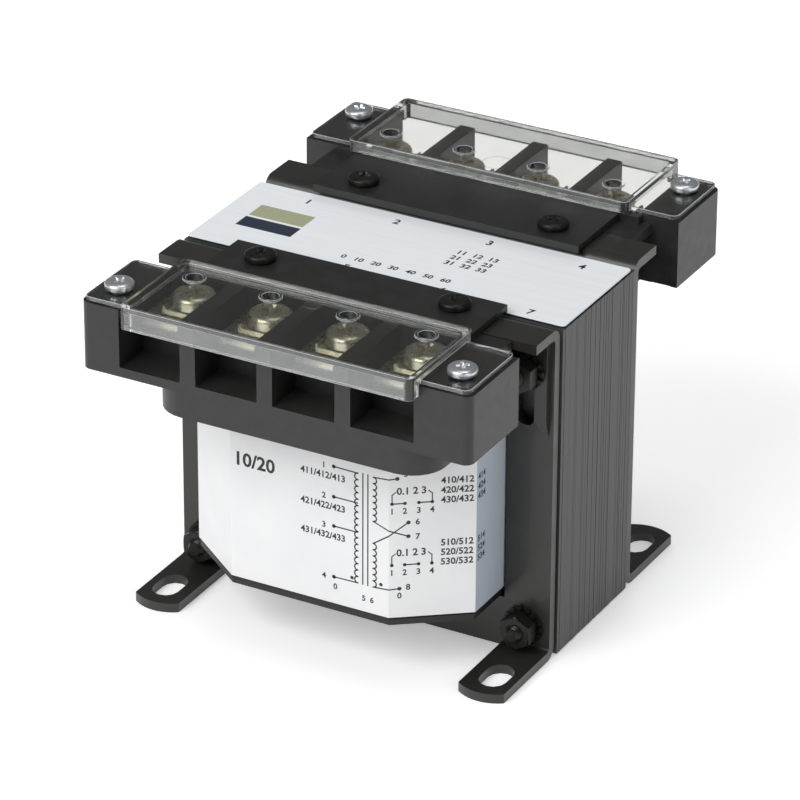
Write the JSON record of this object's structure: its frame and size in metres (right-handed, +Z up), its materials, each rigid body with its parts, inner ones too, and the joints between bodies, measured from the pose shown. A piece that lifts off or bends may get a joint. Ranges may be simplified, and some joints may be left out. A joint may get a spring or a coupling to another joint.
{
  "type": "control transformer",
  "caption": "Panel control transformer with a laminated core, wrapped coil, slotted feet and screw terminals under clear covers",
  "frame": {"origin": "under the middle of the core, level with the undersides of the feet", "axes": "+X along the core's width, +Y through the stack from the front block to the rear block, +Z up"},
  "size_m": [0.0846, 0.1132, 0.0766],
  "materials": {
    "silicon_steel": "varnished edges of stacked sheet",
    "black_paint": "satin black",
    "black_zinc": "black passivated",
    "grey_thermoset": "moulded, satin",
    "black_nylon": "moulded",
    "enamelled_copper": "enamelled wire",
    "white_film": "smooth film",
    "clear_polycarbonate": "clear moulded",
    "plated_brass": "tinned",
    "bright_zinc": "bright zinc",
    "brushed_aluminium": "fine brushed"
  },
  "bodies": {
    "transformer": {"core_laminations": "silicon_steel", "front_end_frame": "black_paint", "rear_end_frame": "black_paint", "core_bolt_1": "black_zinc", "core_washer_1": "black_zinc", "core_nut_1": "black_zinc", "core_bolt_2": "black_zinc", "core_washer_2": "black_zinc", "core_nut_2": "black_zinc", "core_bolt_3": "black_zinc", "core_washer_3": "black_zinc", "core_nut_3": "black_zinc", "core_bolt_4": "black_zinc", "core_washer_4": "black_zinc", "core_nut_4": "black_zinc", "coil_bobbin": "black_nylon", "primary_winding": "enamelled_copper", "secondary_winding": "enamelled_copper", "coil_wrap": "white_film", "front_terminal_block": "grey_thermoset", "rear_terminal_block": "grey_thermoset", "terminal_plate_1": "plated_brass", "terminal_plate_2": "plated_brass", "terminal_plate_3": "plated_brass", "terminal_plate_4": "plated_brass", "terminal_plate_5": "plated_brass", "terminal_plate_6": "plated_brass", "terminal_plate_7": "plated_brass", "terminal_plate_8": "plated_brass", "front_cover": "clear_polycarbonate", "rear_cover": "clear_polycarbonate", "block_screw_1": "black_zinc", "cover_screw_1": "bright_zinc", "block_screw_2": "black_zinc", "cover_screw_2": "bright_zinc", "block_screw_3": "black_zinc", "cover_screw_3": "bright_zinc", "block_screw_4": "black_zinc", "cover_screw_4": "bright_zinc", "top_plate": "brushed_aluminium"},
    "clamp_1": {"clamp_plate_1": "plated_brass"},
    "screw_1": {"terminal_screw_1": "bright_zinc"},
    "clamp_2": {"clamp_plate_2": "plated_brass"},
    "screw_2": {"terminal_screw_2": "bright_zinc"},
    "clamp_3": {"clamp_plate_3": "plated_brass"},
    "screw_3": {"terminal_screw_3": "bright_zinc"},
    "clamp_4": {"clamp_plate_4": "plated_brass"},
    "screw_4": {"terminal_screw_4": "bright_zinc"},
    "clamp_5": {"clamp_plate_5": "plated_brass"},
    "screw_5": {"terminal_screw_5": "bright_zinc"},
    "clamp_6": {"clamp_plate_6": "plated_brass"},
    "screw_6": {"terminal_screw_6": "bright_zinc"},
    "clamp_7": {"clamp_plate_7": "plated_brass"},
    "screw_7": {"terminal_screw_7": "bright_zinc"},
    "clamp_8": {"clamp_plate_8": "plated_brass"},
    "screw_8": {"terminal_screw_8": "bright_zinc"}
  },
  "joints": [
    {"name": "clamp_1_lift", "type": "slide", "parent": "transformer", "child": "clamp_1", "axis": [0, 0, 1], "range_m": [0, 0.00159]},
    {"name": "screw_1_turn", "type": "hinge", "parent": "clamp_1", "child": "screw_1", "pos_m": [-0.02531, -0.039, 0.0704], "axis": [0, 0, 1], "range_deg": [0, 720]},
    {"name": "clamp_2_lift", "type": "slide", "parent": "transformer", "child": "clamp_2", "axis": [0, 0, 1], "range_m": [0, 0.00159]},
    {"name": "screw_2_turn", "type": "hinge", "parent": "clamp_2", "child": "screw_2", "pos_m": [-0.00843, -0.039, 0.0704], "axis": [0, 0, 1], "range_deg": [0, 720]},
    {"name": "clamp_3_lift", "type": "slide", "parent": "transformer", "child": "clamp_3", "axis": [0, 0, 1], "range_m": [0, 0.00159]},
    {"name": "screw_3_turn", "type": "hinge", "parent": "clamp_3", "child": "screw_3", "pos_m": [0.00843, -0.039, 0.0704], "axis": [0, 0, 1], "range_deg": [0, 720]},
    {"name": "clamp_4_lift", "type": "slide", "parent": "transformer", "child": "clamp_4", "axis": [0, 0, 1], "range_m": [0, 0.00159]},
    {"name": "screw_4_turn", "type": "hinge", "parent": "clamp_4", "child": "screw_4", "pos_m": [0.02531, -0.039, 0.0704], "axis": [0, 0, 1], "range_deg": [0, 720]},
    {"name": "clamp_5_lift", "type": "slide", "parent": "transformer", "child": "clamp_5", "axis": [0, 0, 1], "range_m": [0, 0.00159]},
    {"name": "screw_5_turn", "type": "hinge", "parent": "clamp_5", "child": "screw_5", "pos_m": [0.02531, 0.039, 0.0704], "axis": [0, 0, 1], "range_deg": [0, 720]},
    {"name": "clamp_6_lift", "type": "slide", "parent": "transformer", "child": "clamp_6", "axis": [0, 0, 1], "range_m": [0, 0.00159]},
    {"name": "screw_6_turn", "type": "hinge", "parent": "clamp_6", "child": "screw_6", "pos_m": [0.00843, 0.039, 0.0704], "axis": [0, 0, 1], "range_deg": [0, 720]},
    {"name": "clamp_7_lift", "type": "slide", "parent": "transformer", "child": "clamp_7", "axis": [0, 0, 1], "range_m": [0, 0.00159]},
    {"name": "screw_7_turn", "type": "hinge", "parent": "clamp_7", "child": "screw_7", "pos_m": [-0.00843, 0.039, 0.0704], "axis": [0, 0, 1], "range_deg": [0, 720]},
    {"name": "clamp_8_lift", "type": "slide", "parent": "transformer", "child": "clamp_8", "axis": [0, 0, 1], "range_m": [0, 0.00159]},
    {"name": "screw_8_turn", "type": "hinge", "parent": "clamp_8", "child": "screw_8", "pos_m": [-0.02531, 0.039, 0.0704], "axis": [0, 0, 1], "range_deg": [0, 720]}
  ],
  "couplings": [
    {"joint": "screw_1_turn", "follows": "clamp_1_lift", "rad_per_m": 7913.3},
    {"joint": "screw_2_turn", "follows": "clamp_2_lift", "rad_per_m": 7913.3},
    {"joint": "screw_3_turn", "follows": "clamp_3_lift", "rad_per_m": 7913.3},
    {"joint": "screw_4_turn", "follows": "clamp_4_lift", "rad_per_m": 7913.3},
    {"joint": "screw_5_turn", "follows": "clamp_5_lift", "rad_per_m": 7913.3},
    {"joint": "screw_6_turn", "follows": "clamp_6_lift", "rad_per_m": 7913.3},
    {"joint": "screw_7_turn", "follows": "clamp_7_lift", "rad_per_m": 7913.3},
    {"joint": "screw_8_turn", "follows": "clamp_8_lift", "rad_per_m": 7913.3}
  ]
}
